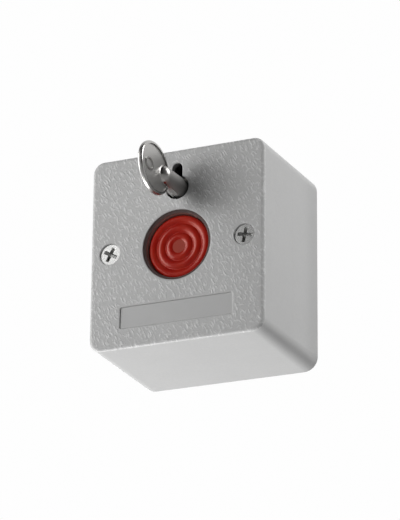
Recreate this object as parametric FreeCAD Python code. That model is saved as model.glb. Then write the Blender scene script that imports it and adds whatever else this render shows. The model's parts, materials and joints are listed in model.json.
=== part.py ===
import FreeCAD, Part
import math
import os

# Keyed wireless panic button. Millimetres, +X right, +Z up, the face looks along -Y.
# The origin is the middle of the wall-side face, and "depth" is counted from the face inwards.

V = FreeCAD.Vector
INWARD = V(0, 1, 0)
UPWARD = V(0, 0, 1)
RIGHTWARD = V(1, 0, 0)
ORIGIN = V(0, 0, 0)

# How near to a plane an edge lies that belongs to it
PLANE_TOLERANCE = 0.01
# How far a cut runs past the surface that it opens
CUT_PAST = 1.0
# Share of a corner's radius between its square corner and the arc
CORNER_SHARE = 1 - math.sqrt(0.5)
# Size of a cross recess's foot beside its mouth
CROSS_FOOT_SHARE = 0.4
CROSS_FOOT_WIDTH_SHARE = 0.67

os.makedirs("parts", exist_ok=True)

# Case
case_width = 70.0
case_height = 75.0
case_depth = 48.0
case_corner_r = 5.3
case_draft_deg = 1.0
face_edge_r = 1.3
opening_edge_r = 0.3
side_wall = 2.2
face_wall = 2.5

# Label recess in the face
label_width = 43.8
label_height = 8.0
label_sink = 0.5
label_from_bottom = 12.3
label_corner_r = 0.6

# Base plate
base_thickness = 2.5
base_gap = 0.25
post_r = 4.5
post_gap = 0.2
wall_hole_r = 2.25
wall_hole_from_end = 15.5
wall_screw_pad_r = 4.4
wall_screw_pad_rise = 1.2

# Cover screws, M4 countersunk
cover_screw_from_side = 8.5
cover_screw_z = 0.0
m4_r = 2.0
m4_length = 25.0
m4_head_r = 3.9
m4_head_rim = 0.35
m4_head_sink = 0.7
m4_cross_span = 5.8
m4_cross_width = 1.35
m4_cross_deep = 1.8
m4_hole_gap = 0.25
thread_gap = 0.04
head_gap = 0.06
cover_boss_length = 11.5
left_cross_turn_deg = 28.0
right_cross_turn_deg = 12.0

# Button, its collar and its spring
button_x = 0.0
button_z = 0.0
button_hole_r = 13.3
button_travel = 3.5
ring_fit = 0.05
ring_wall = 0.65
ring_set_back = 0.4
ring_flange_reach = 1.3
ring_flange_thickness = 1.5
ring_throat_depth = 3.2
ring_throat_gap = 0.3
cap_ring_gap = 0.65
cap_recess = 2.0
cap_wall = 1.3
cap_skin = 1.7
cap_edge_r = 1.2
cap_stop_gap = 0.05
cap_plate_gap = 4.15
cap_flange_reach = 1.8
cap_flange_thickness = 1.2
ripple_disc_r = 2.5
ripple_first_crest_r = 3.7
ripple_rim = 0.25
ripple_height = 0.65
ripple_valley_bend_r = 0.35
ripple_count = 3
stem_r = 2.5
stem_guide_gap = 0.08
spring_wire_r = 0.4
spring_coil_r = 5.0
spring_turns = 5
spring_seat_gap = 0.05

# Latch wire and the barb that it catches
latch_wire_r = 0.45
latch_plate_gap = 1.35
latch_side_gap = 0.15
latch_bend_r = 1.6
latch_leg_sink = 1.8
latch_hole_gap = 0.05
latch_free_end_gap = 0.4
latch_anchor_rise = 5.0
latch_peg_r = 0.9
latch_peg_rise = 2.9
latch_peg_gap = 0.1
latch_peg_offset = 3.2
barb_gap = 0.15
barb_length = 1.7
barb_neck_length = 2.2
barb_lead = 1.0
nose_r = 1.7
nose_collar = 0.15
nose_gap = 0.35

# Mechanism plate behind the face
plate_thickness = 2.5
plate_corner_r = 2.5
plate_margin = 1.0
pillar_r = 3.0
pillar_x = 16.5
pillar_high_z = 13.0
plate_low_margin = 0.5
plate_cell_gap = 0.6
post_clearance = 0.5
tapper_r = 1.1
tapper_head_r = 2.2
tapper_head_thickness = 1.6
tapper_head_edge_r = 0.6
tapper_bite = 8.0
tapper_cross_span = 2.5
tapper_cross_width = 0.7
tapper_cross_deep = 0.9
tapper_cross_turn_deg = 45.0
tapper_hole_gap = 0.2
pilot_tip_gap = 0.5

# Lock: keyhole, key, barrel, sleeve and cam
key_x = 0.0
key_ring_gap = 1.2
keyhole_gap = 0.7
notch_gap = 0.3
notch_end_gap = 0.6
shank_r = 3.8
shank_dome_r = 3.4
shank_tip_reach = 7.5
shank_inner_gap = 0.55
bit_width = 3.4
bit_reach = 8.8
bit_root_r = 2.0
bit_length = 3.4
bow_out = 19.7
bow_half_long = 11.7
bow_half_wide = 9.6
bow_thickness = 1.9
bow_rim_width = 1.15
bow_web_thickness = 0.9
bow_edge_r = 0.7
dome_foot_r = 0.5
mark_out = 4.6
mark_half_long = 3.2
mark_half_wide = 2.4
mark_line = 0.7
mark_rise = 0.3
key_socket_gap = 0.06
rotor_r = 6.2
rotor_face_gap = 0.4
rotor_flange_reach = 1.3
rotor_flange_thickness = 1.3
rotor_bearing_gap = 0.06
rotor_run_gap = 0.15
sleeve_wall = 1.6
sleeve_rise = 3.2
cam_thickness = 2.4
cam_r = 7.2
finger_reach = 9.5
finger_width = 3.0
finger_rest_deg = 65.0
drive_square = 5.0
drive_square_rise = 1.2
drive_square_gap = 0.05
cam_screw_r = 1.0
cam_screw_bite = 4.0
cam_head_r = 3.6
cam_head_thickness = 1.0
cam_cross_span = 2.6
cam_cross_width = 0.7
cam_cross_deep = 0.7

# Circuit board and what stands on it
board_side_margin = 0.7
board_low_gap = 1.3
board_high_gap = 2.3
board_thickness = 1.6
board_corner_r = 1.5
standoff_rise = 7.5
standoff_r = 3.0
standoff_from_side = 3.0
standoff_from_top = 3.5
standoff_holder_gap = 0.45
support_peg_from_bottom = 3.0
support_peg_r = 2.2
board_screw_bite = 5.5

# Lever microswitch
switch_lever_arm = 13.0
switch_plunger_arm = 5.0
switch_body_height = 6.5
switch_body_length = 12.8
switch_body_width = 5.8
switch_body_end = 1.5
lever_thickness = 0.4
lever_width = 3.8
lever_past_nose = 2.0
lever_knuckle_r = 0.75
lever_pin_r = 0.4
lever_pin_gap = 0.05
lever_pin_rise = 0.9
lever_ear_thickness = 0.7
lever_side_gap = 0.3
plunger_r = 0.7
plunger_gap = 0.1
plunger_length = 4.0
plunger_bore_gap = 0.08
plunger_bore_foot = 0.4
terminal_width = 0.9
terminal_thickness = 0.5
terminal_pitch = 5.1
terminal_below = 0.8
terminal_sink = 1.0

# Battery and its holder
cell_r = 8.5
cell_length = 33.4
cell_edge_r = 0.6
cell_cap_r = 3.4
cell_cap_length = 1.1
holder_case_gap = 1.15
cell_gap = 0.15
holder_floor = 1.5
holder_wall = 0.9
holder_end_wall = 1.2
contact_thickness = 0.4
contact_width = 9.0
contact_leaf_gap = 0.05
contact_leaf_bow = 0.9
contact_leaf_margin = 0.8
contact_pin_width = 1.2
contact_pin_below = 1.6

# Transmitter parts
module_length = 20.0
module_width = 13.0
module_thickness = 1.0
module_x = -8.5
module_screw_gap = 1.2
shield_length = 14.0
shield_width = 10.0
shield_thickness = 1.9
shield_edge_r = 0.4
shield_x = -9.5
antenna_wire_r = 0.4
antenna_coil_r = 2.4
antenna_pitch = 1.9
antenna_turns = 6
antenna_x = 3.6
antenna_above_module = 3.4
antenna_foot = 0.35
antenna_foot_r = 0.5
chip_length = 10.0
chip_width = 7.5
chip_thickness = 2.3
chip_leg_count = 7
chip_leg_pitch = 1.27
chip_leg_width = 0.4
chip_leg_thickness = 0.25
chip_leg_reach = 1.2
chip_x = 11.0
chip_z = 9.0
capacitor_r = 3.15
capacitor_height = 7.7
capacitor_edge_r = 0.5
capacitor_x = 14.0
capacitor_above_screw = 5.4
crystal_length = 11.0
crystal_width = 4.6
crystal_end_flat = 0.1
crystal_height = 3.5
crystal_x = -12.0
crystal_module_gap = 1.8
small_part_length = 2.0
small_part_width = 1.25
small_part_height = 0.6
small_part_pitch = 3.0
small_part_count = 6
small_part_x = -12.0
small_part_z = -6.0

# Places worked out from the driving dimensions: the case and what is fixed to it
draft = math.tan(math.radians(case_draft_deg))
inner_half_z = case_height / 2 - side_wall
label_z = label_from_bottom - case_height / 2
base_corner_r = case_corner_r - side_wall - base_gap
cover_screw_x = case_width / 2 - cover_screw_from_side
wall_hole_z = case_height / 2 - wall_hole_from_end

# The board and the switch, in from the wall
board_back = case_depth - base_thickness - standoff_rise
board_front = board_back - board_thickness
switch_top = board_front - switch_body_height
pin_depth = switch_top - lever_pin_rise
pin_x = button_x - switch_lever_arm
lever_length = switch_lever_arm + lever_past_nose
lever_rest_deg = math.degrees(button_travel / switch_lever_arm)
plunger_rise = button_travel * switch_plunger_arm / switch_lever_arm
plunger_top_pressed = pin_depth + lever_thickness / 2 + plunger_gap

# The stem's nose and barb, the latch and the mechanism plate
nose_pressed = pin_depth - lever_thickness / 2 - nose_gap
nose_tip = nose_pressed - button_travel
barb_bottom = nose_tip - nose_r - nose_collar
barb_top = barb_bottom - barb_length
neck_top = barb_top - barb_neck_length
latch_x = button_x - nose_r - latch_wire_r - latch_side_gap
latch_depth = barb_top + button_travel - barb_gap - latch_wire_r
plate_back = latch_depth - latch_wire_r - latch_plate_gap
plate_depth = plate_back - plate_thickness

# The button and its collar
ring_outer_r = button_hole_r - ring_fit
ring_inner_r = ring_outer_r - ring_wall
ring_flange_r = button_hole_r + ring_flange_reach
cap_r = ring_inner_r - cap_ring_gap
cap_flange_r = cap_r + cap_flange_reach
cap_flange_top = plate_depth - cap_plate_gap - button_travel - cap_flange_thickness
ring_length = cap_flange_top - cap_stop_gap
ring_throat_r = cap_r + ring_throat_gap
cap_trough = cap_recess + ripple_height
cap_under = cap_trough + cap_skin
ripple_last_crest_r = cap_r - cap_edge_r - ripple_rim
ripple_pitch = (ripple_last_crest_r - ripple_first_crest_r) / (ripple_count - 1)
ripple_bends_r = ((ripple_pitch / 2) ** 2 + ripple_height**2) / (2 * ripple_height)
ripple_crest_bend_r = ripple_bends_r - ripple_valley_bend_r

# The lock
key_z = button_z + ring_flange_r + key_ring_gap + rotor_r
keyhole_r = shank_r + keyhole_gap
notch_width = bit_width + 2 * notch_gap
notch_reach = bit_reach + notch_end_gap
rotor_flange_r = rotor_r + rotor_flange_reach
bore_r = rotor_r + rotor_bearing_gap
sleeve_r = bore_r + sleeve_wall
sleeve_top = plate_depth - sleeve_rise
rotor_flange_top = sleeve_top - rotor_run_gap - rotor_flange_thickness
rotor_top = face_wall + rotor_face_gap
rotor_end = plate_back + rotor_run_gap
cam_back = rotor_end + cam_thickness
shank_inner_depth = rotor_flange_top - shank_inner_gap
shank_tip_out = bow_out - bow_half_long + shank_tip_reach

# The cell, its holder and the board's outline
holder_half_width = cell_r + cell_gap + holder_wall
cell_play = contact_leaf_bow + contact_leaf_gap
holder_inner_half = (cell_length + cell_cap_length) / 2 + contact_thickness + cell_play
holder_half_length = holder_inner_half + holder_end_wall
cell_z = holder_case_gap + holder_half_width - inner_half_z
cell_depth = board_front - holder_floor - cell_gap - cell_r
board_width = 2 * (holder_half_length + board_side_margin)
board_low_z = board_low_gap - inner_half_z
board_high_z = inner_half_z - board_high_gap
standoff_x = board_width / 2 - standoff_from_side
standoff_high_z = board_high_z - standoff_from_top
standoff_low_z = cell_z + holder_half_width + standoff_holder_gap + tapper_head_r
support_peg_z = board_low_z + support_peg_from_bottom

# The mechanism plate's outline and pillars
plate_low_z = cell_z + cell_r + plate_cell_gap
plate_high_z = key_z + sleeve_r + plate_margin
plate_half_x = pillar_x + pillar_r + plate_margin
pillar_low_z = plate_low_z + plate_low_margin + pillar_r
latch_anchor_z = plate_low_z + latch_anchor_rise

# The transmitter's parts
module_z = standoff_high_z - tapper_head_r - module_screw_gap - module_width / 2
antenna_z = module_z + antenna_above_module
crystal_z = module_z - module_width / 2 - crystal_module_gap - crystal_width / 2
crystal_corner_r = crystal_width / 2 - crystal_end_flat
capacitor_z = standoff_low_z + capacitor_above_screw


# Shape helpers
def y_at(depth):
    """Y of a plane at this depth behind the face."""
    return depth - case_depth


def box(x, z, size_x, size_z, depth, depth_end):
    """Box centred on x and z, between two depths."""
    corner = V(x - size_x / 2, y_at(depth), z - size_z / 2)
    return Part.makeBox(size_x, depth_end - depth, size_z, corner)


def rod(r, x, z, depth, depth_end):
    """Round bar along Y, between two depths."""
    return Part.makeCylinder(r, depth_end - depth, V(x, y_at(depth), z), INWARD)


def cone(r, r_end, x, z, depth, depth_end):
    """Cone along Y, between two depths."""
    return Part.makeCone(r, r_end, depth_end - depth, V(x, y_at(depth), z), INWARD)


def rounded_outline(half_x, half_z, r, depth):
    """Closed wire of a rounded rectangle in the plane at this depth."""
    y = y_at(depth)
    edges = []
    corners = [(1, 1), (-1, 1), (-1, -1), (1, -1)]
    reach = r * CORNER_SHARE
    for index, (sx, sz) in enumerate(corners):
        side = V(sx * half_x, y, sz * (half_z - r))
        top = V(sx * (half_x - r), y, sz * half_z)
        middle = V(sx * (half_x - reach), y, sz * (half_z - reach))
        start, end = (side, top) if index % 2 == 0 else (top, side)
        next_sx, next_sz = corners[(index + 1) % 4]
        if index % 2 == 0:
            following = V(next_sx * (half_x - r), y, next_sz * half_z)
        else:
            following = V(next_sx * half_x, y, next_sz * (half_z - r))
        edges.append(Part.Arc(start, middle, end).toShape())
        edges.append(Part.LineSegment(end, following).toShape())
    return Part.Wire(edges)


def drafted_block(half_x, half_z, r, depth, depth_end):
    """Rounded block whose outline at the wall has these half sizes and narrows to the face."""
    outlines = []
    for level in (depth_end, depth):
        inset = (case_depth - level) * draft
        outlines.append(rounded_outline(half_x - inset, half_z - inset, r - inset, level))
    return Part.makeLoft(outlines, True, True)


def rounded_plate(x, z, size_x, size_z, r, depth, depth_end):
    """Flat plate with rounded corners, between two depths."""
    wire = rounded_outline(size_x / 2, size_z / 2, r, depth)
    wire.translate(V(x, 0, z))
    return Part.Face(wire).extrude(INWARD * (depth_end - depth))


def revolved(points, x, z):
    """Solid turned about the Y line through x and z, from (radius, depth) points."""
    path = [V(x + radius, y_at(depth), z) for radius, depth in points]
    face = Part.Face(Part.makePolygon(path + [path[0]]))
    return face.revolve(V(x, 0, z), INWARD, 360)


def face_side_edges(solid, depth):
    """Edges that lie in the plane at this depth, the solid's face-side plane."""
    return [edge for edge in solid.Edges if edge.BoundBox.YMax < y_at(depth) + PLANE_TOLERANCE]


def face_opening_edges(solid):
    """Rims of the holes and recesses in the solid's face-side plane."""
    edges = []
    for face in solid.Faces:
        if face.BoundBox.YMax < y_at(0) + PLANE_TOLERANCE:
            for wire in face.Wires:
                if not wire.isSame(face.OuterWire):
                    edges.extend(wire.Edges)
    return edges


def cross_recess(x, z, span, width, deep, depth, turn_deg):
    """Tapered cross that a screwdriver fits, cut from this depth inwards."""
    arms = []
    for turn in (0, 90):
        top = Part.makePolygon(cross_corners(span / 2, width / 2, depth))
        foot_half = span * CROSS_FOOT_SHARE / 2
        foot_wide = width * CROSS_FOOT_WIDTH_SHARE / 2
        foot = Part.makePolygon(cross_corners(foot_half, foot_wide, depth + deep))
        arm = Part.makeLoft([top, foot], True, True)
        arm.rotate(ORIGIN, INWARD, turn + turn_deg)
        arms.append(arm)
    recess = arms[0].fuse(arms[1])
    recess.translate(V(x, 0, z))
    return recess


def cross_corners(half_long, half_wide, depth):
    """Closed corner list of one arm of a cross recess."""
    y = y_at(depth)
    signs = [(1, 1), (-1, 1), (-1, -1), (1, -1), (1, 1)]
    return [V(sx * half_long, y, sz * half_wide) for sx, sz in signs]


def save(shape, node):
    """Write one sub-part."""
    if not shape.isValid():
        raise ValueError("the shape of " + node + " is not valid")
    shape.exportStep("parts/" + node + ".step")
    print(node, len(shape.Solids), "solid(s),", round(shape.Volume, 1), "mm3")


def pillar_places():
    """X and Z of the four pillars that carry the mechanism plate."""
    return [(sx * pillar_x, z) for sx in (-1, 1) for z in (pillar_low_z, pillar_high_z)]


def standoff_places():
    """X and Z of the four screwed standoffs under the circuit board."""
    return [(sx * standoff_x, z) for sx in (-1, 1) for z in (standoff_low_z, standoff_high_z)]


def support_places():
    """X and Z of the two plain pegs under the board's battery end."""
    return [(sx * standoff_x, support_peg_z) for sx in (-1, 1)]


def wall_hole_places():
    """X and Z of the four wall screw holes."""
    return [(sx * cover_screw_x, sz * wall_hole_z) for sx in (-1, 1) for sz in (-1, 1)]


def cover_screw_places():
    """X of the two cover screws."""
    return [-cover_screw_x, cover_screw_x]


def post_clearances(depth, depth_end):
    """What the two screw posts keep clear in anything that lies between them."""
    r = post_r + post_clearance
    return [rod(r, x, cover_screw_z, depth, depth_end) for x in cover_screw_places()]


# Case
def keyhole_cut(r, width, reach, depth, depth_end):
    """Round hole with a rounded notch above it."""
    hole = rod(r, key_x, key_z, depth, depth_end)
    top = rod(width / 2, key_x, key_z + reach - width / 2, depth, depth_end)
    height = reach - width / 2
    slot = box(key_x, key_z + height / 2, width, height, depth, depth_end)
    return hole.fuse([top, slot])


def screw_seat():
    """Countersink and clearance hole of one cover screw, at x = 0."""
    rim_r = m4_head_r + head_gap
    rim_end = m4_head_sink + m4_head_rim + head_gap
    cone_end = rim_end + rim_r - m4_r - m4_hole_gap
    boss_end = face_wall + cover_boss_length
    mouth = rod(rim_r, 0, cover_screw_z, -CUT_PAST, rim_end)
    sink = cone(rim_r, m4_r + m4_hole_gap, 0, cover_screw_z, rim_end, cone_end)
    hole = rod(m4_r + m4_hole_gap, 0, cover_screw_z, rim_end, boss_end + CUT_PAST)
    return mouth.fuse([sink, hole])


def make_front_cover():
    outer = drafted_block(case_width / 2, case_height / 2, case_corner_r, 0, case_depth)
    outer = outer.makeFillet(face_edge_r, face_side_edges(outer, 0))
    half_x = case_width / 2 - side_wall
    hollow = drafted_block(half_x, inner_half_z, case_corner_r - side_wall, face_wall, case_depth)
    cover = outer.cut(hollow)
    bosses = []
    for x in cover_screw_places():
        bosses.append(rod(post_r, x, cover_screw_z, face_wall / 2, face_wall + cover_boss_length))
    for x, z in pillar_places():
        bosses.append(rod(pillar_r, x, z, face_wall / 2, plate_depth))
    cover = cover.fuse(bosses)
    cuts = [rod(button_hole_r, button_x, button_z, -CUT_PAST, face_wall + CUT_PAST)]
    cuts.append(keyhole_cut(keyhole_r, notch_width, notch_reach, -CUT_PAST, face_wall + CUT_PAST))
    label = rounded_plate(
        0, label_z, label_width, label_height, label_corner_r, -CUT_PAST, label_sink
    )
    cuts.append(label)
    for x in cover_screw_places():
        seat = screw_seat()
        seat.translate(V(x, 0, 0))
        cuts.append(seat)
    pilot_end = plate_depth - tapper_bite - pilot_tip_gap
    for x, z in pillar_places():
        cuts.append(rod(tapper_r + thread_gap, x, z, pilot_end, plate_depth + CUT_PAST))
    cover = cover.cut(cuts)
    return cover.makeFillet(opening_edge_r, face_opening_edges(cover))


def make_base_plate():
    inset = side_wall + base_gap + draft * base_thickness
    size_x = case_width - 2 * inset
    size_z = case_height - 2 * inset
    front = case_depth - base_thickness
    plate = rounded_plate(0, 0, size_x, size_z, base_corner_r, front, case_depth)
    posts = []
    post_top = face_wall + cover_boss_length + post_gap
    for x in cover_screw_places():
        posts.append(rod(post_r, x, cover_screw_z, post_top, front + base_thickness / 2))
    for x, z in standoff_places():
        posts.append(rod(standoff_r, x, z, board_back, front + base_thickness / 2))
    for x, z in support_places():
        posts.append(rod(support_peg_r, x, z, board_back, front + base_thickness / 2))
    for x, z in wall_hole_places():
        pad_top = front - wall_screw_pad_rise
        posts.append(rod(wall_screw_pad_r, x, z, pad_top, front + base_thickness / 2))
    plate = plate.fuse(posts)
    cuts = []
    screw_end = m4_head_sink + m4_length + pilot_tip_gap
    for x in cover_screw_places():
        cuts.append(rod(m4_r + thread_gap, x, cover_screw_z, post_top - CUT_PAST, screw_end))
    for x, z in standoff_places():
        pilot_end = board_back + board_screw_bite + pilot_tip_gap
        cuts.append(rod(tapper_r + thread_gap, x, z, board_back - CUT_PAST, pilot_end))
    hole_start = front - wall_screw_pad_rise - CUT_PAST
    for x, z in wall_hole_places():
        cuts.append(rod(wall_hole_r, x, z, hole_start, case_depth + CUT_PAST))
    return plate.cut(cuts)


def make_cover_screw(x, turn_deg):
    cone_top = m4_head_sink + m4_head_rim
    rim = rod(m4_head_r, x, cover_screw_z, m4_head_sink, cone_top)
    head = cone(m4_head_r, m4_r, x, cover_screw_z, cone_top, cone_top + m4_head_r - m4_r)
    shank = rod(m4_r, x, cover_screw_z, cone_top, m4_head_sink + m4_length)
    recess = cross_recess(
        x, cover_screw_z, m4_cross_span, m4_cross_width, m4_cross_deep, m4_head_sink, turn_deg
    )
    return rim.fuse([head, shank]).cut(recess)


def pan_screw(x, z, seat, bite_end):
    """Pan-head tapping screw put in from behind: its head sits on the seat's far side."""
    head_end = seat + tapper_head_thickness
    head = rod(tapper_head_r, x, z, seat, head_end)
    rim = [edge for edge in head.Edges if edge.BoundBox.YMin > y_at(head_end) - PLANE_TOLERANCE]
    head = head.makeFillet(tapper_head_edge_r, rim)
    shank = rod(tapper_r, x, z, bite_end, seat + tapper_head_thickness / 2)
    recess = cross_recess(
        0, 0, tapper_cross_span, tapper_cross_width, tapper_cross_deep, 0, tapper_cross_turn_deg
    )
    recess.rotate(V(0, y_at(0), 0), UPWARD, 180)
    recess.translate(V(x, head_end, z))
    return head.fuse(shank).cut(recess)


def make_plate_screws():
    tip = plate_depth - tapper_bite
    return [pan_screw(x, z, plate_back, tip) for x, z in pillar_places()]


def make_board_screws():
    screws = []
    for x, z in standoff_places():
        screw = pan_screw(x, z, board_front, board_front - board_thickness - board_screw_bite)
        screw.rotate(V(x, y_at(board_front), z), UPWARD, 180)
        screws.append(screw)
    return screws


# Button
def make_button_ring():
    flange_end = face_wall + ring_flange_thickness
    points = [
        (ring_throat_r, ring_throat_depth),
        (ring_inner_r, ring_set_back),
        (ring_outer_r, ring_set_back),
        (ring_outer_r, face_wall),
        (ring_flange_r, face_wall),
        (ring_flange_r, flange_end),
        (ring_outer_r, flange_end),
        (ring_outer_r, ring_length),
        (ring_throat_r, ring_length),
    ]
    return revolved(points, button_x, button_z)


def cap_place(point):
    """Place in the cap's section of a (radius, depth) point."""
    radius, depth = point
    return V(button_x + radius, y_at(depth), button_z)


def crest_point(crest_r, reach):
    """Radius and depth on a crest's arc, this far beyond its top."""
    drop = ripple_crest_bend_r - math.sqrt(ripple_crest_bend_r**2 - reach**2)
    return crest_r + reach, cap_recess + drop


def ripple_path():
    """Arcs of the cap's face from its middle disc to its last crest, as (start, middle, end).

    Each is three (radius, depth) points. Crests are broad and valleys narrow, and they meet in line.
    """
    half = ripple_pitch / 2
    reach = half * ripple_crest_bend_r / ripple_bends_r
    start = crest_point(ripple_first_crest_r, ripple_disc_r - ripple_first_crest_r)
    arcs = []
    for index in range(ripple_count - 1):
        crest_r = ripple_first_crest_r + ripple_pitch * index
        after = crest_point(crest_r, reach)
        before_next = crest_point(crest_r + ripple_pitch, -reach)
        arcs.append((start, (crest_r, cap_recess), after))
        arcs.append((after, (crest_r + half, cap_trough), before_next))
        start = before_next
    top = (ripple_last_crest_r, cap_recess)
    arcs.append((start, crest_point(ripple_last_crest_r, -reach / 2), top))
    return arcs


def make_button_cap():
    ripples = ripple_path()
    disc_edge = ripples[0][0]
    last_top = ripples[-1][2]
    flange_end = cap_flange_top + cap_flange_thickness
    bend = cap_edge_r * CORNER_SHARE
    edge_start = (cap_r - cap_edge_r, cap_recess)
    edge_end = (cap_r, cap_recess + cap_edge_r)
    arcs = ripples + [(edge_start, (cap_r - bend, cap_recess + bend), edge_end)]
    outline = [
        edge_end,
        (cap_r, cap_flange_top),
        (cap_flange_r, cap_flange_top),
        (cap_flange_r, flange_end),
        (cap_r - cap_wall, flange_end),
        (cap_r - cap_wall, cap_under),
        (0, cap_under),
        (0, disc_edge[1]),
        disc_edge,
    ]
    lines = [(last_top, edge_start)] + list(zip(outline, outline[1:]))
    edges = []
    for points in arcs:
        edges.append(Part.Arc(*[cap_place(point) for point in points]).toShape())
    for start, end in lines:
        edges.append(Part.LineSegment(cap_place(start), cap_place(end)).toShape())
    face = Part.Face(Part.Wire(Part.__sortEdges__(edges)))
    shell = face.revolve(V(button_x, 0, button_z), INWARD, 360)
    stem = revolved(
        [
            (0, cap_under - cap_skin / 2),
            (stem_r, cap_under - cap_skin / 2),
            (stem_r, neck_top),
            (nose_r, neck_top),
            (nose_r, barb_top),
            (stem_r, barb_top),
            (stem_r, barb_bottom - barb_lead),
            (nose_r, barb_bottom),
            (nose_r, nose_tip - nose_r),
            (0, nose_tip - nose_r),
        ],
        button_x,
        button_z,
    )
    nose = Part.makeSphere(nose_r, V(button_x, y_at(nose_tip - nose_r), button_z))
    return shell.fuse([stem, nose])


def coil(coil_r, wire_r, turns, pitch, axis):
    """Open coil of round wire that starts at the origin and runs along the axis.

    Each turn is two half rings that lean opposite ways, so they meet in line.
    """
    rise = pitch / 2
    lean_r = math.hypot(coil_r, rise / 2)
    arcs = []
    for index in range(2 * turns):
        side = (-1) ** index
        start = V(side * coil_r, 0, rise * index)
        middle = V(0, side * lean_r, rise * (index + 0.5))
        end = V(-side * coil_r, 0, rise * (index + 1))
        arcs.append(Part.Arc(start, middle, end).toShape())
    section = Part.Face(Part.Wire(Part.makeCircle(wire_r, V(coil_r, 0, 0), V(0, 1, 0))))
    solid = Part.Wire(arcs).makePipe(section)
    turn = FreeCAD.Rotation(UPWARD, axis)
    solid.Placement = FreeCAD.Placement(ORIGIN, turn)
    return solid


def make_button_spring():
    start = cap_under + spring_wire_r + spring_seat_gap
    end = plate_depth - spring_wire_r - spring_seat_gap
    spring = coil(spring_coil_r, spring_wire_r, spring_turns, (end - start) / spring_turns, INWARD)
    spring.translate(V(button_x, y_at(start), button_z))
    return spring


# Mechanism
def make_mechanism_plate():
    middle_z = (plate_low_z + plate_high_z) / 2
    size_z = plate_high_z - plate_low_z
    plate = rounded_plate(
        0, middle_z, 2 * plate_half_x, size_z, plate_corner_r, plate_depth, plate_back
    )
    sleeve = rod(sleeve_r, key_x, key_z, sleeve_top, plate_back - plate_thickness / 2)
    peg_start = plate_back - plate_thickness / 2
    peg_end = plate_back + latch_peg_rise
    peg_x = latch_wire_r + latch_peg_gap + latch_peg_r
    peg_z = latch_anchor_z + latch_peg_offset
    pegs = []
    for side in (-1, 1):
        pegs.append(rod(latch_peg_r, latch_x + side * peg_x, peg_z, peg_start, peg_end))
    plate = plate.fuse([sleeve] + pegs)
    start = plate_depth - CUT_PAST
    end = plate_back + CUT_PAST
    cuts = post_clearances(start, end)
    cuts.append(rod(stem_r + stem_guide_gap, button_x, button_z, start, end))
    cuts.append(rod(bore_r, key_x, key_z, sleeve_top - CUT_PAST, end))
    for x, z in pillar_places():
        cuts.append(rod(tapper_r + tapper_hole_gap, x, z, start, end))
    hole_end = plate_back - latch_leg_sink - latch_hole_gap
    hole_r = latch_wire_r + latch_hole_gap
    cuts.append(rod(hole_r, latch_x, latch_anchor_z, hole_end, end))
    return plate.cut(cuts)


def make_latch_wire():
    leg_end = V(latch_x, y_at(plate_back - latch_leg_sink), latch_anchor_z)
    bend_in = V(latch_x, y_at(latch_depth - latch_bend_r), latch_anchor_z)
    bend_out = V(latch_x, y_at(latch_depth), latch_anchor_z + latch_bend_r)
    share = latch_bend_r * CORNER_SHARE
    bend_middle = V(latch_x, y_at(latch_depth - share), latch_anchor_z + share)
    free_z = key_z - cam_r - latch_free_end_gap
    free_end = V(latch_x, y_at(latch_depth), free_z)
    edges = [
        Part.LineSegment(leg_end, bend_in).toShape(),
        Part.Arc(bend_in, bend_middle, bend_out).toShape(),
        Part.LineSegment(bend_out, free_end).toShape(),
    ]
    section = Part.Wire(Part.makeCircle(latch_wire_r, leg_end, INWARD))
    return Part.Wire(edges).makePipeShell([section], True, False)


def make_lock_rotor():
    flange_end = rotor_flange_top + rotor_flange_thickness
    barrel = rod(rotor_r, key_x, key_z, rotor_top, rotor_end)
    flange = rod(rotor_flange_r, key_x, key_z, rotor_flange_top, flange_end)
    square_end = rotor_end + drive_square_rise
    square = box(key_x, key_z, drive_square, drive_square, rotor_end - CUT_PAST, square_end)
    rotor = barrel.fuse([flange, square])
    socket_end = shank_inner_depth + key_socket_gap
    socket = rod(shank_r + key_socket_gap, key_x, key_z, rotor_top - CUT_PAST, socket_end)
    slot_width = bit_width + 2 * key_socket_gap
    slot_height = rotor_flange_r + CUT_PAST
    slot_z = key_z + slot_height / 2
    slot = box(key_x, slot_z, slot_width, slot_height, rotor_top - CUT_PAST, socket_end)
    pilot_start = cam_back - cam_screw_bite - pilot_tip_gap
    pilot = rod(cam_screw_r + thread_gap, key_x, key_z, pilot_start, square_end + CUT_PAST)
    return rotor.cut([socket, slot, pilot])


def make_release_cam():
    disc = rod(cam_r, key_x, key_z, rotor_end, cam_back)
    length = finger_reach - finger_width / 2
    finger = box(length / 2, 0, length, finger_width, rotor_end, cam_back)
    tip = rod(finger_width / 2, length, 0, rotor_end, cam_back)
    arm = finger.fuse(tip)
    arm.rotate(ORIGIN, INWARD, 90 - finger_rest_deg)
    arm.translate(V(key_x, 0, key_z))
    hole_size = drive_square + 2 * drive_square_gap
    hole_end = rotor_end + drive_square_rise + drive_square_gap
    square = box(key_x, key_z, hole_size, hole_size, rotor_end - CUT_PAST, hole_end)
    screw_hole = rod(cam_screw_r + thread_gap, key_x, key_z, rotor_end - CUT_PAST, cam_back + CUT_PAST)
    return disc.fuse(arm).cut([square, screw_hole])


def make_cam_screw():
    head_end = cam_back + cam_head_thickness
    head = rod(cam_head_r, key_x, key_z, cam_back, head_end)
    shank = rod(cam_screw_r, key_x, key_z, cam_back - cam_screw_bite, head_end)
    recess = cross_recess(0, 0, cam_cross_span, cam_cross_width, cam_cross_deep, 0, 0)
    recess.rotate(V(0, y_at(0), 0), UPWARD, 180)
    recess.translate(V(key_x, head_end, key_z))
    return head.fuse(shank).cut(recess)


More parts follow.
